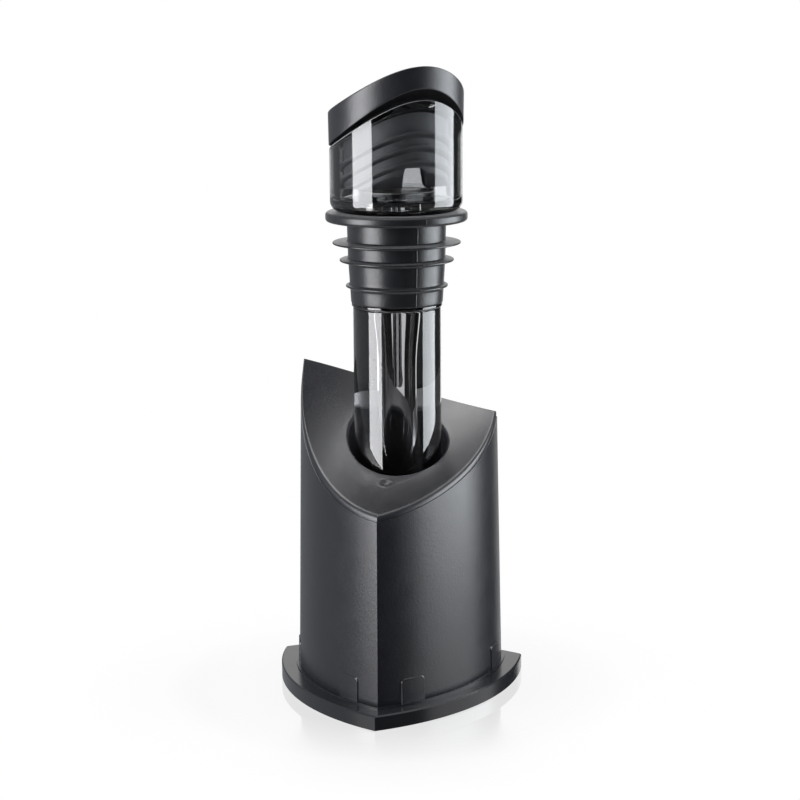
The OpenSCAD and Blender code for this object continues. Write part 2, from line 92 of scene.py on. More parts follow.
class StandSettings(bpy.types.PropertyGroup):
    """Sizes and colours of the stand."""

    centre_x: length("Middle, right", "The stand's middle, to the right of the pourer's axis", -0.7)
    centre_y: length("Middle, back", "The stand's middle, behind the pourer's axis", -2.45)
    foot_z: length("Foot height", "Height of the shell's foot", 3.15)
    side_r: length("Side radius", "Radius of each bowed wall at the foot", 38.2)
    side_c: length("Side centre", "Distance from the stand's middle to a bowed wall's centre", 22.01)
    draft: turn("Lean", "Lean of the walls", 1.02)
    corner_round: length("Corner rounding", "Rounding of the upright corners", 0.3)
    band: length("Band", "Depth of the parting step below the rim", 1.1)
    step: length("Step", "Width of the parting step", 0.15)
    rim_set: length("Rim rounding", "Setback of the rim's rounding", 0.85)
    hole_r: length("Hole radius", "Radius of the hole", 9.1)
    hole_set: length("Hole rounding", "Setback of the hole's rounding", 0.5)
    guide_z: length("Guide end", "Height of the guide tube's lower end", 7.0)
    scoop_r: length("Scoop radius", "Radius of the scoop across its valley", 44.2)
    scoop_sweep: length("Scoop sweep", "Radius of the scoop along its valley", 127.8)
    scoop_x: length("Scoop right", "Middle of the scoop, to the right", 1.8)
    scoop_y: length("Scoop back", "Middle of the scoop, to the back", -25.0)
    scoop_z: length("Scoop height", "Height of the scoop's middle", 83.1)
    scoop_turn: turn("Scoop direction", "Direction of the valley", 60.0)
    scoop_tilt: turn("Scoop tilt", "Rise of the valley", 16.7)
    tab_place: turn("Tab place", "Turn from the middle of a wall to the middle of a tab", 19.36)
    tab_w: length("Tab width", "Width of a raised tab", 4.9)
    tab_h: length("Tab height", "Height of a raised tab", 4.4)
    tab_out: length("Tab relief", "How far a tab stands out", 0.22)
    shell_colour: colour("Shell", "Colour of the soft-touch shell", (0.0100, 0.0105, 0.0135))
    plinth_colour: colour("Plinth", "Colour of the glossy plinth", (0.016, 0.0165, 0.019))


class PourerSettings(bpy.types.PropertyGroup):
    """Sizes and colours of the pourer."""

    tube_r: length("Tube radius", "Outer radius of the inlet tube", 8.0)
    tube_low: length("Tube end", "Height of the tube's lower end", 3.6)
    tube_top: length("Tube shoulder", "Height of the tube's shoulder", 71.2)
    throat_r: length("Throat", "Radius of the throat", 2.3)
    upper_r: length("Upper bore", "Radius of the bore above the throat", 2.85)
    lower_r: length("Lower bore", "Radius of the bore below the throat", 3.1)
    mouth_r: length("Mouth", "Radius of the bore where the flare begins", 4.0)
    inlet_r: length("Inlet", "Radius of the flared inlet", 6.0)
    chamber_r: length("Chamber radius", "Outer radius of the chamber", 12.0)
    chamber_wall: length("Chamber wall", "Wall of the chamber", 1.8)
    chamber_z: length("Chamber height", "Height of the chamber's underside", 88.6)
    cut_back: length("Cut setback", "Setback of the middle of every slanted cut", 10.0)
    lip_r: length("Lip curve", "Radius of the lip's curve", 30.0)
    lip_h: length("Lip height", "Height of the lip on the axis, above the chamber's underside", 12.65)
    crown_gap: length("Crown gap", "Gap on the axis between the lip and the crown", 0.55)
    crown_low_r: length("Crown underside", "Radius of the curve of the crown's underside", 27.9)
    crown_t: length("Crown thickness", "Thickness of the crown on the axis", 5.9)
    crown_top_r: length("Crown top", "Radius of the curve of the crown's top", 32.0)
    flange_r: length("Flange", "Radius of the sleeve's flange", 12.85)
    pour_turn: turn("Pour direction", "Direction in which the slanted lip is highest", -58.4)
    clear_colour: colour("Clear plastic", "Tint of the clear tube", (0.72, 0.72, 0.73))
    smoke_colour: colour("Smoked plastic", "Tint of the chamber", (0.66, 0.67, 0.68))
    sleeve_colour: colour("Sleeve", "Colour of the rubber sleeve", (0.010, 0.0108, 0.0125))
    black_colour: colour("Seals", "Colour of the seals", (0.016, 0.016, 0.019))
    plug_colour: colour("Plug", "Colour of the stopper's plug", (0.012, 0.012, 0.014))
    steel_colour: colour("Steel", "Colour of the screen", (0.62, 0.61, 0.59))


class StageSettings(bpy.types.PropertyGroup):
    """Camera, floor and lamps."""

    lens: FloatProperty(name="Lens", description="Focal length", default=0.100125, unit="CAMERA")
    view_turn: turn("View turn", "Turn of the camera round the object", 7.34)
    view_drop: turn("View drop", "How far the camera looks down", 10.90)
    view_roll: turn("View roll", "Roll of the camera", -0.38)
    floor_colour: colour("Floor", "Colour of the floor", (0.86, 0.86, 0.86))
    card_colour: colour("Cards", "Colour of the cards beside the set", (0.01, 0.01, 0.01))
    card_glow: FloatProperty(name="Grey card", description="Brightness of the card at the back", default=0.31)
    side_power: FloatProperty(
        name="Side lamps", description="Power of a side lamp for each square metre, in watts", default=18.6
    )
    top_power: FloatProperty(name="Top lamp", description="Power of the top lamp, in watts", default=1.9)


def millimetres(settings):
    """The group's lengths in millimetres and its other values as they are."""
    made = {}
    for key, prop in settings.bl_rna.properties.items():
        value = getattr(settings, key)
        made[key] = value / MM if getattr(prop, "unit", "NONE") == "LENGTH" else value
    return made


# Mesh code


def unit(v):
    """The vectors made one long: v / |v|."""
    return v / np.maximum(np.linalg.norm(v, axis=-1, keepdims=True), TINY)


def facing(angles):
    """Directions in the plan: (cos a, sin a)."""
    return np.stack([np.cos(angles), np.sin(angles)], -1)


def new_object(name, data):
    """A new object in the scene."""
    made = bpy.data.objects.new(name, data)
    bpy.context.scene.collection.objects.link(made)
    return made


def mesh_object(name, verts, faces, finish):
    """A smooth mesh object in the scene, from points in metres and faces, with its material."""
    mesh = bpy.data.meshes.new(name)
    mesh.from_pydata(verts, [], faces)
    mesh.validate()
    mesh.shade_smooth()
    mesh.materials.append(finish)
    return new_object(name, mesh)


def new_piece(name, grids, finish, body, sharp=SHARP):
    """One object from grids, which rides on a body.

    A grid is (points, wrap rows, wrap columns), with points as rows x columns x 3 in millimetres. Each cell
    becomes a quad from its four neighbouring points, and cells without area are left out.
    """
    verts, faces, start = [], [], 0
    for points, wrap_rows, wrap_cols in grids:
        rows, cols = points.shape[:2]
        index = start + np.arange(rows * cols).reshape(rows, cols)
        down = np.roll(index, -1, 0) if wrap_rows else index[1:]
        here = index if wrap_rows else index[:-1]
        if wrap_cols:
            quads = np.stack([here, np.roll(here, -1, 1), np.roll(down, -1, 1), down], -1)
        else:
            quads = np.stack([here[:, :-1], here[:, 1:], down[:, 1:], down[:, :-1]], -1)
        verts.append(points.reshape(-1, 3))
        faces.append(quads.reshape(-1, 4))
        start += rows * cols
    verts, faces = np.concatenate(verts), np.concatenate(faces)
    a, b, c, d = (verts[faces[:, k]] for k in range(4))
    area = np.linalg.norm(np.cross(c - a, d - b), axis=1)
    piece = mesh_object(name, (verts * MM).tolist(), faces[area > TINY].tolist(), finish)
    piece.data.set_sharp_from_angle(angle=math.radians(sharp))
    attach(piece, body)
    return piece


def conic(start, corner, end, steps):
    """Points along the round that touches both legs of a corner.

    It is the rational curve ((1-t)^2 A + 2wt(1-t) C + t^2 B) / ((1-t)^2 + 2wt(1-t) + t^2), with w the sine of
    half the corner's angle, which is an arc of a circle where both legs are equally long.
    """
    da, db = unit(start - corner), unit(end - corner)
    w = np.sqrt(np.clip((1 - (da * db).sum(-1, keepdims=True)) / 2, 0, 1))
    rows = []
    for t in np.linspace(0, 1, steps + 1):
        a, c, b = (1 - t) ** 2, 2 * w * t * (1 - t), t * t
        rows.append((a * start + c * corner + b * end) / (a + c + b))
    return np.array(rows)


def rounded(points, sets, steps=6):
    """A line in the (radius, height) plane whose corners are rounded by setbacks, one for each inner point.

    A setback takes at most the share `most` of a leg, so that two never meet.
    """
    most = 0.49
    points = np.array(points, float)
    out = [points[:1]]
    for i in range(1, len(points) - 1):
        s = sets[i - 1]
        before, here, after = points[i - 1], points[i], points[i + 1]
        a = here + unit(before - here) * min(s, most * np.linalg.norm(before - here))
        b = here + unit(after - here) * min(s, most * np.linalg.norm(after - here))
        out.append(conic(a, here, b, steps))
    out.append(points[-1:])
    return np.concatenate(out)


def refined(line, longest):
    """The line with long stretches cut evenly, A + (B - A) k / n, so that none is longer than `longest`."""
    out = [line[:1]]
    for a, b in zip(line[:-1], line[1:]):
        n = max(1, int(math.ceil(np.linalg.norm(b - a) / longest)))
        out.append(a + (b - a) * (np.arange(1, n + 1) / n)[:, None])
    return np.concatenate(out)


def lathe(line, angles):
    """The line, turned round Z: x = r cos, y = r sin, z = height."""
    r, z = line[:, 0][:, None], line[:, 1][:, None]
    return np.stack([r * np.cos(angles), r * np.sin(angles), z + 0 * angles], -1)


def full_turn(count=192, extra=()):
    """Evenly spaced angles over a turn, -pi + 2 pi k / count, with more where asked, to nine decimals."""
    even = np.linspace(-math.pi, math.pi, count, endpoint=False)
    return np.unique(np.round(np.concatenate([even, np.asarray(extra, float)]), 9))


def between(first, last, steps=8):
    """Rows from one row towards another, A + (B - A) t at even shares t, without either of them."""
    return [first + (last - first) * t for t in np.linspace(0, 1, steps + 1)[1:-1]]


# The stand's forms


def outline(radius, centre, rounding, s):
    """Points round the bow-sided triangle.

    A side is an arc D + R (cos p, sin p) about a centre D towards the opposite corner, with p the outward
    direction. A corner is an arc of radius `rounding` about the point on the corner's ray that lies
    R - rounding from both neighbouring sides' centres. Both radii may differ from point to point.
    """
    on_side = np.linspace(-1, 1, SIDE_POINTS)
    in_corner = np.linspace(-1, 1, CORNER_POINTS + 2)[1:-1]
    radius, rounding = (np.broadcast_to(np.asarray(v, float), OUTLINE_POINTS) for v in (radius, rounding))
    cornered = np.tile(np.r_[np.ones(CORNER_POINTS), np.zeros(SIDE_POINTS)], 3) > 0
    share = np.tile(np.r_[in_corner, on_side], 3)
    which = np.repeat(np.arange(3), SIDE_POINTS + CORNER_POINTS)
    reach = (np.sqrt(4 * (radius - rounding) ** 2 - 3 * centre**2) - centre) / 2
    gap = np.arctan2(centre * math.sin(SIXTH), reach + centre / 2)
    corner, opposite = CORNERS[which], CORNERS[(which + 2) % 3]
    outward = facing(np.where(cornered, corner + share * gap, opposite + math.pi + share * (SIXTH - gap)))
    rounds = reach[:, None] * facing(corner) + rounding[:, None] * outward
    bows = centre * facing(opposite) + radius[:, None] * outward
    return np.where(cornered[:, None], rounds, bows) + np.array([s["centre_x"], s["centre_y"]])


def scoop_height(x, y, s, drop=0.0):
    """Height of the scooped roof over (x, y), or of the surface that lies `drop` under it.

    The scoop is a barrel: at the place A on its tilted axis its radius is R - W + sqrt((W + drop)^2 - A^2),
    with W its profile's radius. Newton's steps find the height at that distance from the axis.
    """
    level, az = math.cos(s["scoop_tilt"]), math.sin(s["scoop_tilt"])
    ax, ay = level * math.cos(s["scoop_turn"]), level * math.sin(s["scoop_turn"])
    x, y = np.asarray(x, float), np.asarray(y, float)
    dx, dy = x - s["scoop_x"], y - s["scoop_y"]
    dz = np.full(x.shape, -s["scoop_r"])
    for _ in range(NEWTON_STEPS):
        along = dx * ax + dy * ay + dz * az
        away = np.sqrt(np.maximum(dx**2 + dy**2 + dz**2 - along**2, TINY))
        root = np.sqrt((s["scoop_sweep"] + drop) ** 2 - along**2)
        miss = away - (s["scoop_r"] - s["scoop_sweep"] + root)
        slope = (dz - along * az) / away + along / root * az
        dz = dz - miss / slope
    return s["scoop_z"] + dz


def dimple(x, y):
    """Depth of the round gate mark in front of the hole: a shallow dish with a low rim.

    With d the distance from the mark's middle in radii, the depth is dish * max(0, 1 - d^2) less
    rim * exp(-((d - rim_at) / rim_wide)^2).
    """
    middle_x, middle_y, radius = -0.7, -11.9, 1.1
    dish, rim, rim_at, rim_wide = 0.20, 0.10, 1.1, 0.2
    d = np.hypot(x - middle_x, y - middle_y) / radius
    return dish * np.clip(1 - d**2, 0, None) - rim * np.exp(-(((d - rim_at) / rim_wide) ** 2))


def shell_rows(s):
    """Rows of the shell's skin and rows of the hole's wall.

    The skin goes up the wall, over the parting step and the rim, and across the roof into the hole. The wall
    of the hole goes on from there to the guide's end.
    """
    foot, least_round, low_guess = s["foot_z"], 0.02, 50.0

    def at(inset, z):
        """The outline at a height: R = side radius - inset - (z - foot) tan(draft)."""
        radius = s["side_r"] - inset - (z - foot) * math.tan(s["draft"])
        return outline(radius, s["side_c"], np.maximum(s["corner_round"] - inset, least_round), s)

    def roof(xy, drop=0.0):
        """Height of the roof, or of the surface `drop` under it."""
        return scoop_height(xy[:, 0], xy[:, 1], s, drop)

    def wall_top(inset, drop):
        """Where the walls meet the surface `drop` under the roof: place and height are worked out in turn."""
        z = np.full(OUTLINE_POINTS, low_guess)
        for _ in range(ROUNDS):
            xy = at(inset, z)
            z = roof(xy, drop)
        return xy, z

    def row(xy, z):
        """A row of points (x, y, z)."""
        return np.column_stack([xy, np.broadcast_to(z, (len(xy),))])

    # The wall, from a hem under its foot up to the parting step
    hem, foot_bevel, ledge_rise, wall_rows = 1.2, 0.08, 0.02, 14
    _xy, ledge = wall_top(0, s["band"])
    rows = [row(at(hem, np.full(OUTLINE_POINTS, foot)), foot)]
    for t in np.r_[0, 0.004, np.linspace(0.03, 1, wall_rows)]:
        z = foot + t * (ledge - foot)
        rows.append(row(at(0 if t > 0 else foot_bevel, z), z))
    rows.append(row(at(s["step"], ledge), ledge + ledge_rise))
    # The rim, whose setback is larger where wall and roof meet at a blunter angle
    probe, steepest, slopes = 0.5, -0.75, 0.9
    least, more, band_share, rim_steps = 0.3, 0.7, 0.8, 10
    edge_xy, edge_z = wall_top(s["step"], 0)
    rise = (roof(at(s["step"] + probe, edge_z)) - edge_z) / probe
    blunt = np.clip((rise - steepest) / slopes, 0, 1)
    rim = s["rim_set"] * (least + more * blunt * blunt * (3 - 2 * blunt))
    start_z = edge_z - np.minimum(rim, band_share * (edge_z - ledge))
    start_xy, end_xy = at(s["step"], start_z), at(s["step"] + rim, edge_z)
    rows.extend(conic(row(start_xy, start_z), row(edge_xy, edge_z), row(end_xy, roof(end_xy)), rim_steps))
    # The roof, in rows from the rim to the hole
    roof_rows, edge_steps = 64, 6
    toward = unit(end_xy)
    ring = toward * (s["hole_r"] + s["hole_set"])
    for t in np.linspace(0, 1, roof_rows)[1:]:
        xy = end_xy + (ring - end_xy) * t
        rows.append(row(xy, roof(xy) - dimple(xy[:, 0], xy[:, 1])))
    hole = toward * s["hole_r"]
    hole_z = roof(hole)
    hole_top = hole_z - s["hole_set"]
    rows.extend(conic(rows[-1], row(hole, hole_z), row(hole, hole_top), edge_steps)[1:])
    # The hole's wall and the guide's lower face
    guide_wall, hole_rows = 1.3, 9
    wall = [rows[-1]]
    for t in np.linspace(0, 1, hole_rows)[1:]:
        wall.append(row(hole, hole_top * (1 - t) + s["guide_z"] * t))
    wall.append(row(toward * (s["hole_r"] + guide_wall), s["guide_z"]))
    return np.array(rows), np.array(wall)


def tab_grids(s):
    """Raised tabs at the foot: each follows its bowed wall and stands out of it inside a rounded outline.

    With d the distance outside that outline and e = 0.5 - d / soft, held between 0 and 1, a tab stands out by
    relief * e^2 (3 - 2e) - sink.
    """
    half, tall = s["tab_w"] / 2, s["tab_h"]
    soft, corner, sink, under = 0.16, 0.7, 0.03, 0.02
    across = np.r_[
        np.linspace(-half - soft, -half + soft, 9),
        np.linspace(-half + 2 * soft, half - 2 * soft, 22),
        np.linspace(half - soft, half + soft, 9),
    ]
    up = np.r_[np.linspace(-under, tall - 1.2, 8), np.linspace(tall - 1.0, tall + soft, 16)]
    a, h = np.meshgrid(across, up)
    dx, dz = np.abs(a) - (half - corner), h - (tall - corner)
    outside = np.hypot(np.maximum(dx, 0), np.maximum(dz, 0)) + np.minimum(np.maximum(dx, dz), 0) - corner
    e = np.clip(0.5 - outside / soft, 0, 1)
    out = s["tab_out"] * (e**2 * (3 - 2 * e)) - sink
    radius = s["side_r"] - h * math.tan(s["draft"]) + out
    z = s["foot_z"] + h
    grids = []
    for c in CORNERS:
        for way in (-1, 1):
            p = c + math.pi + way * s["tab_place"] + a / s["side_r"]
            x = s["centre_x"] + s["side_c"] * math.cos(c) + radius * np.cos(p)
            y = s["centre_y"] + s["side_c"] * math.sin(c) + radius * np.sin(p)
            grids.append((np.stack([x, y, z], -1), False, False))
    return grids


# The pourer's forms


def curve_height(x, y, s, radius, on_axis):
    """Height of a slanted cut by a level cylinder: z = h + sqrt(R^2 - b^2) - sqrt(R^2 - (u + b)^2).

    Here u is the distance in the pouring direction, b the setback of the cylinder's middle and h the height
    where the cut crosses the pourer's axis.
    """
    u = x * math.cos(s["pour_turn"]) + y * math.sin(s["pour_turn"])
    b = s["cut_back"]
    return on_axis + math.sqrt(radius**2 - b**2) - np.sqrt(np.maximum(radius**2 - (u + b) ** 2, TINY))


def lip(x, y, s):
    """Height of the chamber's lip, by curve_height."""
    return curve_height(x, y, s, s["lip_r"], s["chamber_z"] + s["lip_h"])


def crown_low(x, y, s):
    """Height of the crown's underside, by curve_height."""
    return curve_height(x, y, s, s["crown_low_r"], s["chamber_z"] + s["lip_h"] + s["crown_gap"])


def crown_top(x, y, s):
    """Height of the crown's top, by curve_height."""
    on_axis = s["chamber_z"] + s["lip_h"] + s["crown_gap"] + s["crown_t"]
    return curve_height(x, y, s, s["crown_top_r"], on_axis)


def ring_of(radius, angles, height):
    """A ring of points at a radius, with the height given by a function of x and y or as a number."""
    x, y = radius * np.cos(angles), radius * np.sin(angles)
    z = height(x, y) if callable(height) else np.full(x.shape, float(height))
    return np.stack([x, y, z], -1)


def tube_line(p):
    """The inlet tube's section, a line of (radius, height) points with each corner rounded by its setback.

    It goes up the outside, over the shoulder and the spigot, and down the bore with its narrowed throat.
    """
    r, low, top = p["tube_r"], p["tube_low"], p["tube_top"] - 0.01
    spigot, spigot_r = p["tube_top"] + 8.0, 4.9
    upper_end, throat_top, throat_end, lower_top = 70.0, 62.6, 52.4, 43.4
    rim_r, mouth_z = p["inlet_r"] + 0.6, low + 12.0
    pts = [
        (rim_r, low), (r, low), (r, top), (spigot_r, top), (spigot_r, spigot), (p["upper_r"], spigot),
        (p["upper_r"], upper_end), (p["throat_r"], throat_top), (p["throat_r"], throat_end),
        (p["lower_r"], lower_top), (p["mouth_r"], mouth_z), (p["inlet_r"], low + 0.02), (rim_r, low),
    ]
    sets = [0.7, 0.25, 0.1, 0.4, 0.15, 1.5, 3.2, 3.2, 4.0, 4.0, 0.5]
    return refined(rounded(pts, sets, 7), 1.6)


def air_line():
    """The air tube's section, as in tube_line: a thin straight tube with a nozzle at its lower end."""
    bore, r, low, top = 0.42, 0.8, 56.62, 92.2
    pts = [(bore, low), (0.72, low), (1.0, 57.6), (r, 60.1), (r, top), (bore, top), (bore, low)]
    sets = [0.3, 0.5, 0.6, 0.1, 0.05]
    return refined(rounded(pts, sets), 2.0)


def gasket_line(p):
    """The gasket's section, as in tube_line: a flat ring on the tube's shoulder."""
    bore, r, low = 4.96, 8.0, p["tube_top"]
    top = low + 0.24
    return rounded([(bore, low), (r, low), (r, top), (bore, top), (bore, low)], [0.06, 0.06, 0.02], 4)


def chamber_rows(p, angles):
    """The chamber's skin, and the rounding of its lip.

    The skin goes from the lip down the inside to the outlet, and from the neck's bore out and up the wall.
    """
    z0, r, upper = p["chamber_z"], p["chamber_r"], p["upper_r"]
    inner, floor, floor_round = r - p["chamber_wall"], z0 + 2.1, 0.9
    seat_r, neck_r, collar_r, longest = 4.95, 6.4, 8.25, 1.5
    collar, collar_top, step = p["tube_top"] + 0.25, p["tube_top"] + 0.25 + 0.5, p["tube_top"] + 8.05
    out_set, in_set = 0.3, 0.35

    def lip_ring(radius, drop=0.0):
        """A ring `drop` below the slanted lip."""
        return ring_of(radius, angles, lambda x, y: lip(x, y, p) - drop)

    pts = [
        (upper, step), (seat_r, step), (seat_r, collar), (collar_r, collar), (collar_r, collar_top),
        (neck_r, collar_top), (neck_r, z0), (r, z0), (r, z0 + 4.0),
    ]
    low = rounded(pts, [0.2, 0.1, 0.12, 0.12, 0.1, 0.3, 1.9], 9)
    outside = [ring_of(a, angles, b) for a, b in refined(low, longest)]
    start, middle, middle_in = lip_ring(r, out_set), lip_ring(r - out_set), lip_ring(inner + in_set)
    outside.extend(between(outside[-1], start))
    outside.append(start)
    stop, bottom = lip_ring(inner, in_set), ring_of(inner, angles, floor + floor_round)
    inside = [middle, (middle + middle_in) / 2]
    inside.extend(conic(middle_in, lip_ring(inner), stop, 6))
    inside.extend(between(stop, bottom))
    pts = [(inner, floor + floor_round), (inner, floor), (upper, floor), (upper, step)]
    inside.extend(ring_of(a, angles, b) for a, b in refined(rounded(pts, [floor_round, 0.2], 8), longest))
    return np.array(inside[:-1] + outside), conic(start, lip_ring(r), middle, 6)


def crown_rows(p, angles):
    """The crown's skin and its curved underside.

    The skin goes round the crown's lower edge, up the leaning side and in over the scooped top.
    """
    foot_r, lean, foot, low_guess = 12.03, math.tan(math.radians(0.8)), p["chamber_z"] + 8.6, 105.0
    low_share, top_share, low_set, top_set = 0.992, 0.962, 0.1, 0.45

    def side(height, shift):
        """The leaning side, r = foot_r + (z - foot) tan(lean), where it meets a cut moved up by `shift`."""
        z = np.full(angles.shape, low_guess)
        for _ in range(ROUNDS):
            r = foot_r + (z - foot) * lean
            z = height(r * np.cos(angles), r * np.sin(angles), p) + shift
        return ring_of(r, angles, lambda x, y: z)

    def face(height, share, edge):
        """Points of a cut, at a share of the way from the axis to its edge."""
        xy = edge[:, :2] * share
        return np.column_stack([xy, height(xy[:, 0], xy[:, 1], p)])

    low_edge, top_edge, side_top = side(crown_low, 0), side(crown_top, 0), side(crown_top, -top_set)
    under = [face(crown_low, k, low_edge) for k in np.linspace(0.3, low_share, 14)]
    rows = list(conic(under[-1], low_edge, side(crown_low, low_set), 4))
    rows.extend(between(rows[-1], side_top))
    rows.extend(conic(side_top, top_edge, face(crown_top, top_share, top_edge), 8))
    rows.extend(face(crown_top, k, top_edge) for k in np.linspace(top_share, 0.0, 22)[1:])
    return np.array(rows), np.array(under)


def plug_rows(p, angles):
    """The plug's skin and its flange. Ribs and flange follow the lip, each at its own drop below it."""
    core, rib_r, flange_r, bottom, bottom_round = 9.4, 10.14, 10.8, 10.4, 0.4
    end_z, slot_h, slot_way = 93.15, 3.9, math.radians(8)
    slot_start, slot_rise, slot_end, slot_fall = 1.0, 0.5, 4.9, 0.9
    rib_top, rib_pitch, rib_tall, rib_set, root_set, root = 3.4, 2.5, 0.9, 0.3, 0.05, 0.12
    lift, flange_set, overlap = 0.1, 0.1, 0.05

    def end(x, y):
        """Height of the plug's flat end with its slot: end_z + slot_h sqrt(1 - (1 - step)^2)."""
        side = x * math.cos(slot_way) + y * math.sin(slot_way)
        step = np.clip((side - slot_start) / slot_rise, 0, 1) * np.clip((slot_end - side) / slot_fall, 0, 1)
        return end_z + slot_h * np.sqrt(1 - (1 - step) ** 2)

    def at(r, drop):
        """A ring `drop` below the lip, but never below the plug's end."""
        return ring_of(r, angles, lambda x, y: np.maximum(lip(x, y, p) - drop, end(x, y)))

    flat = core - bottom_round
    rows = [at(r, bottom) for r in (0.01, *np.linspace(0.5, 8.5, 17), flat)]
    rows.extend(conic(at(flat, bottom), at(core, bottom), at(core, bottom - bottom_round), 4)[1:])
    for k in (2, 1, 0):
        top = rib_top + rib_pitch * k
        low = top + rib_tall
        rows.append(at(core, low + root))
        rows.extend(conic(at(core, low + root_set), at(rib_r, low), at(rib_r, low - rib_set), 5))
        rows.extend(conic(at(rib_r, top + rib_set), at(rib_r, top), at(core, top - root_set), 5))
        rows.append(at(core, top - root))
    rows.extend(at(core, d) for d in (2.0, 0.8, -0.05, -lift))
    flange = [at(r, -lift) for r in (core, 10.2, flange_r - flange_set)]
    flange.extend(conic(flange[-1], at(flange_r, -lift), at(flange_r, -lift - flange_set), 4)[1:])
    flange.append(ring_of(flange_r, angles, lambda x, y: crown_low(x, y, p) + overlap))
    return np.array(rows), np.array(flange)


def sleeve_line(p):
    """The sleeve's section, as in tube_line: a tapered core, three thin fins and a round-edged flange."""
    under, top, low = p["chamber_z"] - 1.8, p["chamber_z"] - 0.03, p["tube_top"] + 0.75
    bore, end_r, mid_r, top_r = 6.45, 8.32, 8.815, 8.98
    mid_z = low + (under - low) * 0.55
    root, tip = 0.35, 0.15
    fins = ((9.26, 11.7), (10.35, 7.05), (11.62, 3.9))

    def core(z):
        """The core's radius at a height."""
        return float(np.interp(z, [low, mid_z, under], [end_r, mid_r, top_r]))

    pts, sets = [(bore, low), (end_r, low)], [0.3]
    for fin_r, drop in fins:
        z = under - drop
        pts += [(core(z - root), z - root), (fin_r, z - tip), (fin_r, z + tip), (core(z + root), z + root)]
        sets += [0.35, 0.13, 0.13, 0.35]
    pts += [(top_r, under), (p["flange_r"], under), (p["flange_r"], top), (bore, top), (bore, low)]
    sets += [0.5, 0.6, 0.6, 0.1]
    return refined(rounded(pts, sets, 7), 0.8)


def with_seam(line, jog, angles, seam, height):
    """The line turned round Z, lifted along its own outward direction beside the seam's two half planes.

    The lift falls off with the distance round the sleeve, as height * max(0, 1 - distance / width). The seam
    jogs sideways by `jog`, an angle for each of the line's points.
    """
    width = 0.16
    step = np.roll(line, -1, 0) - np.roll(line, 1, 0)
    normal = unit(np.stack([step[:, 1], -step[:, 0]], -1))
    grid = lathe(line, angles)
    turned = np.abs((angles[None] - seam - jog[:, None] + math.pi / 2) % math.pi - math.pi / 2)
    near = np.clip(1 - line[:, 0][:, None] * turned / width, 0, 1) * height
    radial = ring_of(1.0, angles, 0.0)
    grid = grid + near[..., None] * normal[:, 0][:, None, None] * radial[None]
    grid[..., 2] += near * normal[:, 1][:, None]
    return grid


# Materials


def set_inputs(node, values):
    """Gives each input of a node, by name or number, a plain value or another node's output."""
    for key, value in values.items():
        if isinstance(value, bpy.types.NodeSocket):
            node.id_data.links.new(value, node.inputs[key])
        else:
            node.inputs[key].default_value = value


def add_node(tree, kind, values=None):
    """A new shader node of a kind, with its inputs."""
    node = tree.nodes.new("ShaderNode" + kind)
    set_inputs(node, values or {})
    return node


def material(name):
    """A new material, its node tree and its shader, which is joined to the output."""
    made = bpy.data.materials.new(name)
    made.use_nodes = True
    tree = made.node_tree
    tree.nodes.clear()
    shader = add_node(tree, "BsdfPrincipled")
    add_node(tree, "OutputMaterial", {"Surface": shader.outputs["BSDF"]})
    return made, tree, shader


def noise(tree, scale, detail=3.0, rough=0.5, stretch=None):
    """Noise on Object coordinates. The scale counts per metre, and stretch scales each axis."""
    source = add_node(tree, "TexCoord").outputs["Object"]
    if stretch:
        source = add_node(tree, "Mapping", {"Scale": stretch, "Vector": source}).outputs["Vector"]
    values = {"Vector": source, "Scale": scale, "Detail": detail, "Roughness": rough}
    return add_node(tree, "TexNoise", values).outputs["Fac"]


def spread(tree, value, low, high, first=0.3, last=0.7):
    """Goes evenly from low to high as a value goes from first to last, and stays there beyond them."""
    values = {"Value": value, "From Min": first, "From Max": last, "To Min": low, "To Max": high}
    return add_node(tree, "MapRange", values).outputs["Result"]


def combined(tree, operation, first, second):
    """Two values in one: their product for MULTIPLY, the larger for MAXIMUM."""
    node = add_node(tree, "Math", {0: first, 1: second})
    node.operation = operation
    return node.outputs[0]


def mixed(tree, share, first, second):
    """Two shaders mixed, with a share of the second from 0 to 1."""
    return add_node(tree, "MixShader", {"Fac": share, 1: first, 2: second}).outputs["Shader"]


def tinted(tree, value, base, low, high):
    """The base colour times low to high, held to 1, as a value goes from first to last."""
    first, last = 0.32, 0.68
    ramp = add_node(tree, "ValToRGB", {"Fac": value})
    for stop, place, share in zip(ramp.color_ramp.elements, (first, last), (low, high)):
        stop.position = place
        stop.color = (*np.minimum(np.array(base) * share, 1.0), 1)
    return ramp.outputs["Color"]


def bump(tree, value, distance, strength):
    """The surface's direction where a value from 0 to 1 stands for a height of up to `distance` metres."""
    values = {"Height": value, "Distance": distance, "Strength": strength}
    return add_node(tree, "Bump", values).outputs["Normal"]


def soft_touch(name, base, rough=(0.31, 0.35)):
    """Satin moulded plastic: a fine spark-eroded grain, and slow changes of tone and gloss."""
    made, tree, shader = material(name)
    set_inputs(shader, {
        "Base Color": tinted(tree, noise(tree, 90.0, 4.0, 0.6), base, 0.90, 1.10),
        "Roughness": spread(tree, noise(tree, 260.0), *rough),
        "Normal": bump(tree, noise(tree, 2600.0, 3.0, 0.6), 0.00005, 0.45),
        "Specular IOR Level": 0.57,
    })
    return made


def glossy_plastic(name, base):
    """Polished moulded plastic with faint flow waviness and a few hazy patches."""
    made, tree, shader = material(name)
    set_inputs(shader, {
        "Base Color": tinted(tree, noise(tree, 60.0), base, 0.92, 1.08),
        "Roughness": spread(tree, noise(tree, 140.0, 5.0, 0.65), 0.17, 0.24),
        "Normal": bump(tree, noise(tree, 110.0, 2.0), 0.00002, 0.25),
    })
    return made


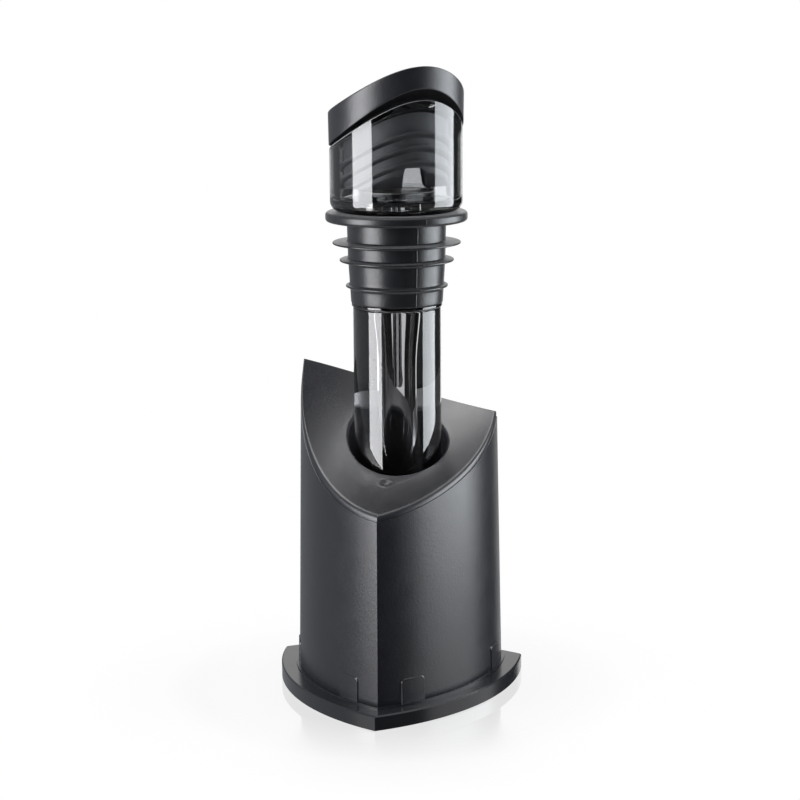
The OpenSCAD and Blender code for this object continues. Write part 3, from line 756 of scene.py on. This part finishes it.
def rubber(name, base, rough=(0.28, 0.34), sheen=0.0, gloss=0.5):
    """Matte elastomer with drawn-out streaks, and with a dusty sheen where asked."""
    made, tree, shader = material(name)
    streaks = noise(tree, 420.0, 4.0, 0.6, (1.0, 1.0, 0.25))
    set_inputs(shader, {
        "Base Color": tinted(tree, streaks, base, 0.85, 1.2),
        "Roughness": spread(tree, noise(tree, 700.0), *rough),
        "Normal": bump(tree, noise(tree, 2200.0, 4.0, 0.6), 0.00005, 0.4),
        "Sheen Weight": sheen,
        "Sheen Roughness": 0.4,
        "Specular IOR Level": gloss,
    })
    return made


def clear_plastic(name, tint, ior, wave=0.00004, coat=0.3):
    """Clear moulded plastic with slow changes of tint, a faint haze in places and waves from moulding."""
    made, tree, shader = material(name)
    set_inputs(shader, {
        "Base Color": tinted(tree, noise(tree, 70.0, 2.0), tint, 0.97, 1.03),
        "Roughness": spread(tree, noise(tree, 300.0), 0.0, 0.03),
        "Normal": bump(tree, noise(tree, 120.0, 2.0, 0.4, (1.0, 1.0, 0.35)), wave, 1.0),
        "Transmission Weight": 1.0,
        "IOR": ior,
        "Coat Weight": coat,
        "Coat IOR": 1.5,
        "Coat Roughness": 0.02,
    })
    return made


def steel(name, base):
    """Punched sheet steel with a fine directional grain."""
    made, tree, shader = material(name)
    grain = noise(tree, 3000.0, 3.0, 0.6, (1.0, 0.05, 1.0))
    set_inputs(shader, {
        "Base Color": tinted(tree, grain, base, 0.85, 1.1),
        "Roughness": spread(tree, grain, 0.25, 0.4),
        "Metallic": 1.0,
    })
    return made


def dress(node, finish):
    """Gives a CAD node a new material."""
    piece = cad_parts[node]
    for slot in piece.material_slots:
        slot.material = finish


# Operators


class POURER_OT_shell(bpy.types.Operator):
    """Builds the stand's shell with its scooped roof, parting step and raised tabs"""

    bl_idname = "pourer.shell"
    bl_label = "Stand shell"

    def execute(self, context):
        s = millimetres(context.scene.pourer_stand)
        finish = soft_touch("shell_plastic", s["shell_colour"])
        skin, wall = shell_rows(s)
        grids = [(skin, False, True)] + tab_grids(s)
        shell = new_piece("shell_skin", grids, finish, "stand", SHARP_STAND)
        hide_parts("stand_shell")
        # Painted shade: the hole's wall gets a near-black, rough, low-gloss colour, darker than the shell's
        # own plastic, which stands in for the shade inside the hole.
        matte = rubber("socket_plastic", (0.003, 0.003, 0.0035), (0.5, 0.6), 0.0, 0.15)
        socket = new_piece("socket_wall", [(wall, False, True)], matte, "stand", SHARP_STAND)
        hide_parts("stand_shell")
        return {"FINISHED"}


class POURER_OT_plinth(bpy.types.Operator):
    """Dresses the plinth and its foot pad"""

    bl_idname = "pourer.plinth"
    bl_label = "Plinth"

    def execute(self, context):
        s = millimetres(context.scene.pourer_stand)
        dress("stand_base", glossy_plastic("plinth_plastic", s["plinth_colour"]))
        dress("foot_pad", rubber("pad_rubber", (0.02, 0.02, 0.021)))
        return {"FINISHED"}


class POURER_OT_tube(bpy.types.Operator):
    """Builds the clear inlet tube, the air tube in its throat and the gasket on its shoulder"""

    bl_idname = "pourer.tube"
    bl_label = "Inlet tube"

    def execute(self, context):
        p = millimetres(context.scene.pourer_pourer)
        clear = clear_plastic("clear_plastic", p["clear_colour"], 1.49)
        tube_grid = lathe(tube_line(p)[:-1], full_turn(160))
        tube = new_piece("tube_clear", [(tube_grid, True, True)], clear, "pourer")
        tube.visible_shadow = False
        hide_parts("inlet_tube")
        smooth = clear_plastic("air_plastic", p["clear_colour"], 1.49, 0.00001)
        air_grid = lathe(air_line()[:-1], full_turn(48))
        air = new_piece("air_tube_clear", [(air_grid, True, True)], smooth, "pourer")
        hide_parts("air_tube")
        seal = rubber("seal_rubber", p["black_colour"], (0.3, 0.4))
        gasket_grid = lathe(gasket_line(p)[:-1], full_turn(128))
        gasket = new_piece("gasket", [(gasket_grid, True, True)], seal, "pourer", SHARP_GASKET)
        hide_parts("tube_gasket")
        dress("neck_o_ring", seal)
        return {"FINISHED"}


class POURER_OT_chamber(bpy.types.Operator):
    """Builds the smoked chamber with its slanted lip, and dresses the insert, screen and clamp"""

    bl_idname = "pourer.chamber"
    bl_label = "Chamber"

    def execute(self, context):
        p = millimetres(context.scene.pourer_pourer)
        body, edge = chamber_rows(p, full_turn())
        smoked = clear_plastic("smoked_plastic", p["smoke_colour"], 1.54, coat=0.2)
        chamber = new_piece("chamber_clear", [(body, False, True)], smoked, "pourer")
        chamber.visible_shadow = False
        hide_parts("pour_chamber")
        # Painted highlight: the lip's rounding gets a light grey colour with only half transmission. It shows
        # as a bright line that stands in for light carried along the clear wall to its edge.
        frosted = clear_plastic("frosted_lip", (0.60, 0.61, 0.62), 1.54)
        set_inputs(frosted.node_tree.nodes["Principled BSDF"], {"Transmission Weight": 0.5})
        rim = new_piece("lip_edge", [(edge, False, True)], frosted, "pourer")
        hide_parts("pour_chamber")
        inner = clear_plastic("frosted_plastic", (0.86, 0.87, 0.88), 1.49)
        dress("aerator_insert", inner)
        dress("filter_clamp", inner)
        dress("filter_screen", steel("screen_steel", p["steel_colour"]))
        return {"FINISHED"}


class POURER_OT_sleeve(bpy.types.Operator):
    """Builds the rubber sleeve with its flange, fins and mould seam"""

    bl_idname = "pourer.sleeve"
    bl_label = "Bottle sleeve"

    def execute(self, context):
        p = millimetres(context.scene.pourer_pourer)
        seam, seam_lift, jog, near_step = math.radians(-59.0), 0.04, 0.06, 0.009
        fin_r, fin_run, flange_root = 8.85, 0.35, p["chamber_z"] - 2.4
        near = np.arange(-2, 10) * near_step
        angles = full_turn(extra=np.r_[seam + near, seam + math.pi + near])
        line = sleeve_line(p)[:-1]
        on_fin = np.clip((line[:, 0] - fin_r) / fin_run, 0, 1) * (line[:, 1] < flange_root)
        grid = with_seam(line, jog * on_fin, angles, seam, seam_lift)
        finish = rubber("sleeve_rubber", p["sleeve_colour"], (0.30, 0.36), 0.14)
        sleeve = new_piece("sleeve_rubber", [(grid, True, True)], finish, "pourer")
        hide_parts("bottle_sleeve")
        return {"FINISHED"}


class POURER_OT_stopper(bpy.types.Operator):
    """Builds the stopper's crown and its ribbed plug"""

    bl_idname = "pourer.stopper"
    bl_label = "Stopper"

    def execute(self, context):
        p = millimetres(context.scene.pourer_pourer)
        s = millimetres(context.scene.pourer_stand)
        angles = full_turn()
        crown_grid, under_grid = crown_rows(p, angles)
        finish = soft_touch("crown_plastic", s["shell_colour"], (0.36, 0.42))
        crown = new_piece("crown_skin", [(crown_grid, False, True)], finish, "stopper")
        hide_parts("stopper_crown")
        plug_grid, flange_grid = plug_rows(p, angles)
        black = rubber("plug_rubber", p["plug_colour"], (0.56, 0.64), 0.0, 1.0)
        plug = new_piece("plug_skin", [(plug_grid, False, True)], black, "stopper")
        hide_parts("stopper_plug")
        # Painted shade: the plug's flange and the crown's underside get a near-black, rough, low-gloss
        # colour, darker than the plug and the crown, which stands in for the shade in the recess under the
        # crown.
        matte = rubber("flange_rubber", (0.002, 0.002, 0.0025), (0.6, 0.7), 0.0, 0.08)
        grids = [(flange_grid, False, True), (under_grid, False, True)]
        flange = new_piece("plug_flange", grids, matte, "stopper")
        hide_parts("stopper_plug")
        return {"FINISHED"}


def compass(degrees):
    """A direction in the plan, counted from +X towards +Y in the camera's own frame."""
    a = math.radians(degrees) + bpy.context.scene.pourer_stage.view_turn
    return Vector((math.cos(a), math.sin(a), 0))


def card(name, first, last, radius, low, high, finish):
    """A curved card round the object between two directions. Only reflections and refractions see it."""
    count = 24
    a = np.radians(np.linspace(first, last, count)) + bpy.context.scene.pourer_stage.view_turn
    verts = np.concatenate([ring_of(radius, a, z) for z in (low, high)])
    faces = [(i, i + 1, i + 1 + count, i + count) for i in range(count - 1)]
    made = mesh_object(name, verts.tolist(), faces, finish)
    made.visible_camera = made.visible_diffuse = made.visible_shadow = False
    return made


def lamp(name, place, target, width, height, power, hue=(1, 1, 1)):
    """A soft rectangular lamp that the camera doesn't see."""
    light = bpy.data.lights.new(name, "AREA")
    light.shape, light.size, light.size_y = "RECTANGLE", width, height
    light.energy, light.color = power, hue
    made = new_object(name, light)
    made.location = place
    made.rotation_mode = "QUATERNION"
    made.rotation_quaternion = (Vector(target) - Vector(place)).to_track_quat("-Z", "Y")
    made.visible_camera = False
    return made


def card_finish(name, base, glow=0.0):
    """A card's matte material, which glows faintly where asked."""
    made, _tree, shader = material(name)
    set_inputs(shader, {"Base Color": (*base, 1), "Roughness": 1.0})
    if glow:
        set_inputs(shader, {"Emission Color": (0.9, 0.95, 1.0, 1), "Emission Strength": glow})
    return made


class POURER_OT_stage(bpy.types.Operator):
    """Makes the floor, the world, the cards, the lamps and the camera"""

    bl_idname = "pourer.stage"
    bl_label = "Stage"

    def execute(self, context):
        g = context.scene.pourer_stage
        context.scene.view_settings.view_transform = "Standard"
        self.camera(g)
        self.floor(g)
        self.world()
        self.cards(g)
        self.lamps(g)
        return {"FINISHED"}

    def camera(self, g):
        """A camera whose axes are turned from the object's by the view's turn, drop and roll."""
        t, d, r = g.view_turn, g.view_drop, g.view_roll
        ahead = Vector((-math.sin(t) * math.cos(d), math.cos(t) * math.cos(d), -math.sin(d)))
        level = Vector((math.cos(t), math.sin(t), 0))
        upright = level.cross(ahead)
        right = level * math.cos(r) + upright * math.sin(r)
        up = upright * math.cos(r) - level * math.sin(r)
        data = bpy.data.cameras.new("camera")
        data.sensor_width, data.lens = 36.0, g.lens * 1000
        data.clip_start, data.clip_end = 0.01, 20
        made = new_object("camera", data)
        turn_to = Matrix((right, up, -ahead)).transposed()
        made.matrix_world = Matrix.Translation(CAMERA_PLACE) @ turn_to.to_4x4()
        bpy.context.scene.camera = made

    def floor(self, g):
        """White paper that fades into the backdrop, with a mirror image that blurs away from the stand."""
        half, mirror_share, fade_near, fade_far, least_glow = 3, 0.8, 0.025, 0.06, 0.71
        blur_near, blur_far, clear_rough, blurred_rough = 0.026, 0.044, 0.03, 0.5
        made, tree, shader = material("floor_paper")
        paper = tinted(tree, noise(tree, 3.0, 2.0), g.floor_colour, 0.985, 1.0)
        set_inputs(shader, {"Base Color": paper, "Roughness": 0.4})
        away = add_node(tree, "VectorMath", {0: add_node(tree, "TexCoord").outputs["Object"]})
        away.operation = "LENGTH"
        away = away.outputs["Value"]
        blur = spread(tree, away, clear_rough, blurred_rough, blur_near, blur_far)
        mirror = add_node(tree, "BsdfGlossy", {"Roughness": blur})
        sheen = mixed(tree, mirror_share, shader.outputs["BSDF"], mirror.outputs["BSDF"])
        seen = add_node(tree, "LightPath").outputs["Is Camera Ray"]
        share = combined(tree, "MULTIPLY", seen, spread(tree, away, least_glow, 1.0, fade_near, fade_far))
        glow = add_node(tree, "Emission", {"Strength": 1.0}).outputs["Emission"]
        out = next(n for n in tree.nodes if n.type == "OUTPUT_MATERIAL")
        set_inputs(out, {"Surface": mixed(tree, share, sheen, glow)})
        verts = [(-half, -half, 0), (half, -half, 0), (half, half, 0), (-half, half, 0)]
        plane = mesh_object("floor", verts, [(0, 1, 2, 3)], made)
        plane.visible_glossy = plane.visible_transmission = plane.visible_diffuse = False

    def world(self):
        """A white world that the camera, mirrors and clear pieces see in full and matte surfaces faintly."""
        faint = 0.10
        world = bpy.data.worlds.new("studio")
        bpy.context.scene.world = world
        world.use_nodes = True
        tree = world.node_tree
        tree.nodes.clear()
        path = add_node(tree, "LightPath").outputs
        seen = combined(tree, "MAXIMUM", path["Is Camera Ray"], path["Is Glossy Ray"])
        seen = combined(tree, "MAXIMUM", seen, path["Is Transmission Ray"])
        level = spread(tree, seen, faint, 1.0, 0.0, 1.0)
        back = add_node(tree, "Background", {"Color": (1, 1, 1, 1), "Strength": level})
        add_node(tree, "OutputWorld", {"Surface": back.outputs["Background"]})

    def cards(self, g):
        """Three cards that only reflections see and one that only clear pieces see, between directions."""
        low, high, near, far = -0.30, 0.42, 0.30, 0.31
        dark = card_finish("card_cloth", g.card_colour)
        grey = card_finish("card_grey", g.card_colour, g.card_glow)
        rows = (
            ("card_back_left", 104, 189, grey),
            ("card_front", 230, 338, dark),
            ("card_back_right", 27, 62, dark),
        )
        for name, first, last, finish in rows:
            card(name, first, last, near, low, high, finish).visible_transmission = False
        card("card_through", 101, 432, far, low, high, dark).visible_glossy = False

    def lamps(self, g):
        """Two tall lamps beside the object and one over it. Each side lamp's power goes by its area."""
        away, middle, tall = 0.29, 0.09, 0.24
        rows = (
            ("lamp_left", 210.2, 0.195, 1.7, (0.96, 0.965, 1.0)),
            ("lamp_right", 2.2, 0.239, 1.15, (0.90, 0.95, 1.0)),
        )
        for name, towards, width, power, hue in rows:
            place = compass(towards) * away
            watts = power * g.side_power * width * tall
            made = lamp(name, (place.x, place.y, middle), (0, 0, middle), width, tall, watts, hue)
            made.visible_transmission = False
        top_turn, top_away, top_z, top_wide = 105, 0.12, 0.55, 0.32
        place = compass(top_turn) * top_away + Vector((0, 0, top_z))
        lamp("lamp_top", place, (0, 0, 0.05), top_wide, top_wide, g.top_power)


class POURER_PT_panel(bpy.types.Panel):
    """The pourer's panel"""

    bl_idname = "POURER_PT_panel"
    bl_label = "Pourer"
    bl_space_type = "VIEW_3D"
    bl_region_type = "UI"
    bl_category = "Pourer"

    def draw(self, context):
        for operator in OPERATORS:
            self.layout.operator(operator.bl_idname)
        for group in GROUPS:
            settings = getattr(context.scene, group)
            box = self.layout.box()
            for key in settings.__annotations__:
                box.prop(settings, key)


OPERATORS = (
    POURER_OT_shell, POURER_OT_plinth, POURER_OT_tube, POURER_OT_chamber, POURER_OT_sleeve, POURER_OT_stopper,
    POURER_OT_stage,
)
GROUPS = {"pourer_stand": StandSettings, "pourer_pourer": PourerSettings, "pourer_stage": StageSettings}
CLASSES = (*GROUPS.values(), *OPERATORS, POURER_PT_panel)


def register():
    for c in CLASSES:
        bpy.utils.register_class(c)
    for name, group in GROUPS.items():
        setattr(bpy.types.Scene, name, PointerProperty(type=group))


def unregister():
    for name in GROUPS:
        delattr(bpy.types.Scene, name)
    for c in reversed(CLASSES):
        bpy.utils.unregister_class(c)


def main():
    """Builds all pieces and the stage."""
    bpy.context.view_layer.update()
    register()
    bpy.ops.pourer.shell()
    bpy.ops.pourer.plinth()
    bpy.ops.pourer.tube()
    bpy.ops.pourer.chamber()
    bpy.ops.pourer.sleeve()
    bpy.ops.pourer.stopper()
    bpy.ops.pourer.stage()
    bpy.context.view_layer.update()


if __name__ == "__main__":
    main()
